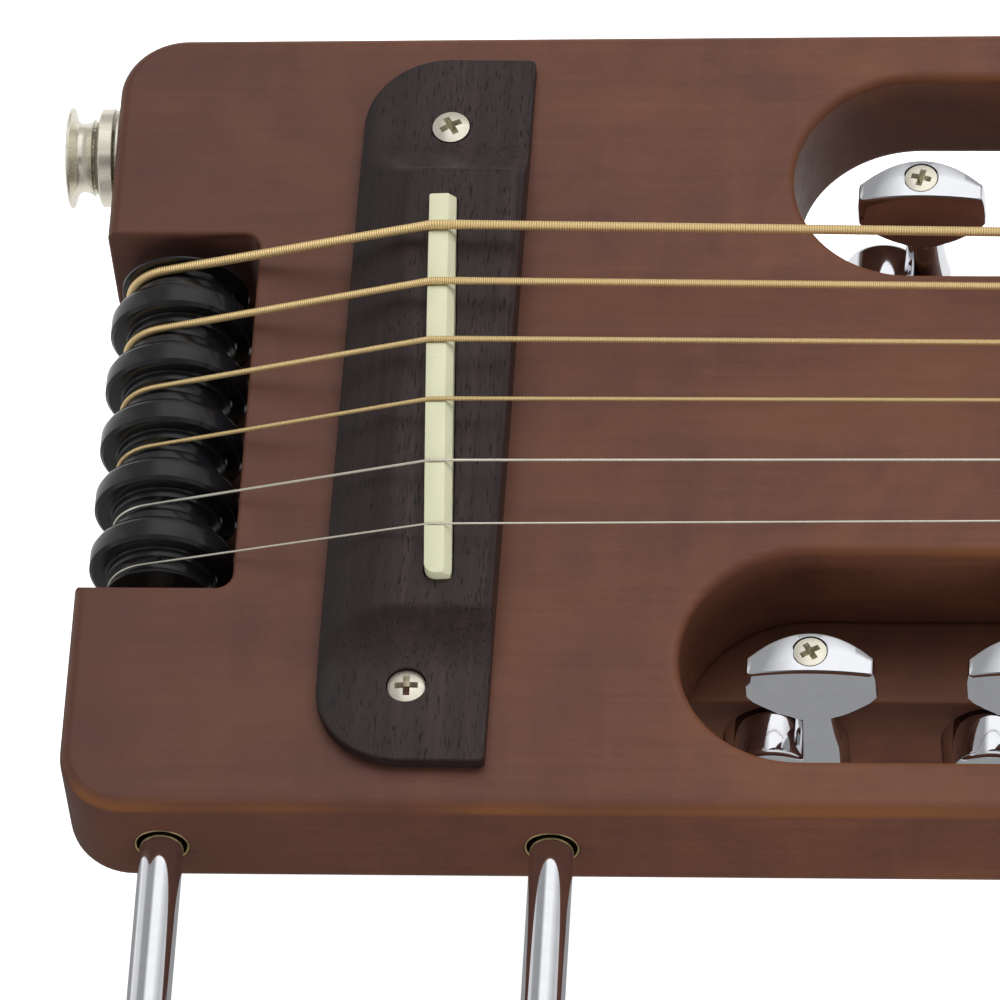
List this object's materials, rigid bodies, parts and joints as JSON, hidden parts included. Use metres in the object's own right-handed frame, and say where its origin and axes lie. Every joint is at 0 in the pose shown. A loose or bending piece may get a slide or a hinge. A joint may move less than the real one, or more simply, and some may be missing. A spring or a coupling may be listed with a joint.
{
  "type": "travel guitar",
  "caption": "Headless neck-through travel guitar: slab body with a keel, tuners in two body slots, tail string rollers, bridge, strap jack and pull-out lap rest.",
  "frame": {"origin": "on the flat back of the keel, on the centre line, where the guitar rests", "axes": "+X along the strings from the tail towards the head, +Y towards the bass side, +Z out of the front face"},
  "size_m": [0.7179, 0.2584, 0.0548],
  "materials": {
    "stained_maple": "satin brown stain",
    "dark_rosewood": "oiled dark brown",
    "black_roller": "polished black",
    "bone": "pale cream, semi-matt",
    "chrome": "polished",
    "nickel_steel": "satin nickel plate",
    "bronze_wire": "wound bronze wire",
    "brass": "satin",
    "copper_foil": "copper foil",
    "lead_jacket": "black"
  },
  "bodies": {
    "guitar": {"anchor_screw_bass": "nickel_steel", "anchor_screw_treble": "nickel_steel", "bridge": "dark_rosewood", "bridge_screw_bass": "nickel_steel", "bridge_screw_treble": "nickel_steel", "endpin_jack": "nickel_steel", "fretboard": "dark_rosewood", "jack_nut": "nickel_steel", "jack_washer": "nickel_steel", "lap_rest_socket_neck": "brass", "lap_rest_socket_tail": "brass", "neck_through_body": "stained_maple", "nut": "bone", "pickup_lead": "lead_jacket", "pickup_strip": "copper_foil", "roller_axle": "nickel_steel", "saddle": "bone", "strap_button": "nickel_steel", "strap_button_screw": "nickel_steel", "strap_collar": "nickel_steel", "string_1": "nickel_steel", "string_2": "nickel_steel", "string_3": "bronze_wire", "string_4": "bronze_wire", "string_5": "bronze_wire", "string_6": "bronze_wire", "string_anchor": "nickel_steel", "truss_rod": "nickel_steel", "tuner_housing_1": "chrome", "tuner_housing_2": "chrome", "tuner_housing_3": "chrome", "tuner_housing_4": "chrome", "tuner_housing_5": "chrome", "tuner_housing_6": "chrome"},
    "tuner_1": {"tuner_button_1": "chrome", "worm_shaft_1": "nickel_steel"},
    "post_1": {"string_post_1": "nickel_steel"},
    "string_roller_1": {"roller_1": "black_roller"},
    "tuner_2": {"tuner_button_2": "chrome", "worm_shaft_2": "nickel_steel"},
    "post_2": {"string_post_2": "nickel_steel"},
    "string_roller_2": {"roller_2": "black_roller"},
    "tuner_3": {"tuner_button_3": "chrome", "worm_shaft_3": "nickel_steel"},
    "post_3": {"string_post_3": "nickel_steel"},
    "string_roller_3": {"roller_3": "black_roller"},
    "tuner_4": {"tuner_button_4": "chrome", "worm_shaft_4": "nickel_steel"},
    "post_4": {"string_post_4": "nickel_steel"},
    "string_roller_4": {"roller_4": "black_roller"},
    "tuner_5": {"tuner_button_5": "chrome", "worm_shaft_5": "nickel_steel"},
    "post_5": {"string_post_5": "nickel_steel"},
    "string_roller_5": {"roller_5": "black_roller"},
    "tuner_6": {"tuner_button_6": "chrome", "worm_shaft_6": "nickel_steel"},
    "post_6": {"string_post_6": "nickel_steel"},
    "string_roller_6": {"roller_6": "black_roller"},
    "rest": {"lap_rest": "chrome"}
  },
  "joints": [
    {"name": "tuner_turn_1", "type": "hinge", "parent": "guitar", "child": "tuner_1", "pos_m": [-0.147, -0.0405, 0.0183], "axis": [0, 0, 1], "continuous": true},
    {"name": "post_turn_1", "type": "hinge", "parent": "guitar", "child": "post_1", "pos_m": [-0.1532, -0.0405, 0.0183], "axis": [0, 1, 0], "continuous": true},
    {"name": "roller_turn_1", "type": "hinge", "parent": "guitar", "child": "string_roller_1", "pos_m": [-0.2392, -0.02513, 0.0352], "axis": [0, 1, 0], "continuous": true},
    {"name": "tuner_turn_2", "type": "hinge", "parent": "guitar", "child": "tuner_2", "pos_m": [-0.1164, -0.0405, 0.0183], "axis": [0, 0, 1], "continuous": true},
    {"name": "post_turn_2", "type": "hinge", "parent": "guitar", "child": "post_2", "pos_m": [-0.1226, -0.0405, 0.0183], "axis": [0, 1, 0], "continuous": true},
    {"name": "roller_turn_2", "type": "hinge", "parent": "guitar", "child": "string_roller_2", "pos_m": [-0.2392, -0.01507, 0.0352], "axis": [0, 1, 0], "continuous": true},
    {"name": "tuner_turn_3", "type": "hinge", "parent": "guitar", "child": "tuner_3", "pos_m": [-0.0858, -0.0405, 0.0183], "axis": [0, 0, 1], "continuous": true},
    {"name": "post_turn_3", "type": "hinge", "parent": "guitar", "child": "post_3", "pos_m": [-0.092, -0.0405, 0.0183], "axis": [0, 1, 0], "continuous": true},
    {"name": "roller_turn_3", "type": "hinge", "parent": "guitar", "child": "string_roller_3", "pos_m": [-0.2392, -0.00502, 0.0352], "axis": [0, 1, 0], "continuous": true},
    {"name": "tuner_turn_4", "type": "hinge", "parent": "guitar", "child": "tuner_4", "pos_m": [-0.0729, 0.0405, 0.0183], "axis": [0, 0, 1], "continuous": true},
    {"name": "post_turn_4", "type": "hinge", "parent": "guitar", "child": "post_4", "pos_m": [-0.0791, 0.0405, 0.0183], "axis": [0, 1, 0], "continuous": true},
    {"name": "roller_turn_4", "type": "hinge", "parent": "guitar", "child": "string_roller_4", "pos_m": [-0.2392, 0.00502, 0.0352], "axis": [0, 1, 0], "continuous": true},
    {"name": "tuner_turn_5", "type": "hinge", "parent": "guitar", "child": "tuner_5", "pos_m": [-0.1035, 0.0405, 0.0183], "axis": [0, 0, 1], "continuous": true},
    {"name": "post_turn_5", "type": "hinge", "parent": "guitar", "child": "post_5", "pos_m": [-0.1097, 0.0405, 0.0183], "axis": [0, 1, 0], "continuous": true},
    {"name": "roller_turn_5", "type": "hinge", "parent": "guitar", "child": "string_roller_5", "pos_m": [-0.2392, 0.01507, 0.0352], "axis": [0, 1, 0], "continuous": true},
    {"name": "tuner_turn_6", "type": "hinge", "parent": "guitar", "child": "tuner_6", "pos_m": [-0.1341, 0.0405, 0.0183], "axis": [0, 0, 1], "continuous": true},
    {"name": "post_turn_6", "type": "hinge", "parent": "guitar", "child": "post_6", "pos_m": [-0.1403, 0.0405, 0.0183], "axis": [0, 1, 0], "continuous": true},
    {"name": "roller_turn_6", "type": "hinge", "parent": "guitar", "child": "string_roller_6", "pos_m": [-0.2392, 0.02513, 0.0352], "axis": [0, 1, 0], "continuous": true},
    {"name": "lap_rest_slide", "type": "slide", "parent": "guitar", "child": "rest", "axis": [0, -1, 0], "range_m": [0, 0.02]}
  ],
  "couplings": [
    {"joint": "post_turn_1", "follows": "tuner_turn_1", "ratio": 0.055556},
    {"joint": "roller_turn_1", "follows": "tuner_turn_1", "ratio": -0.026447},
    {"joint": "post_turn_2", "follows": "tuner_turn_2", "ratio": 0.055556},
    {"joint": "roller_turn_2", "follows": "tuner_turn_2", "ratio": -0.026648},
    {"joint": "post_turn_3", "follows": "tuner_turn_3", "ratio": 0.055556},
    {"joint": "roller_turn_3", "follows": "tuner_turn_3", "ratio": -0.027046},
    {"joint": "post_turn_4", "follows": "tuner_turn_4", "ratio": 0.055556},
    {"joint": "roller_turn_4", "follows": "tuner_turn_4", "ratio": -0.027432},
    {"joint": "post_turn_5", "follows": "tuner_turn_5", "ratio": 0.055556},
    {"joint": "roller_turn_5", "follows": "tuner_turn_5", "ratio": -0.027905},
    {"joint": "post_turn_6", "follows": "tuner_turn_6", "ratio": 0.055556},
    {"joint": "roller_turn_6", "follows": "tuner_turn_6", "ratio": -0.028403}
  ]
}
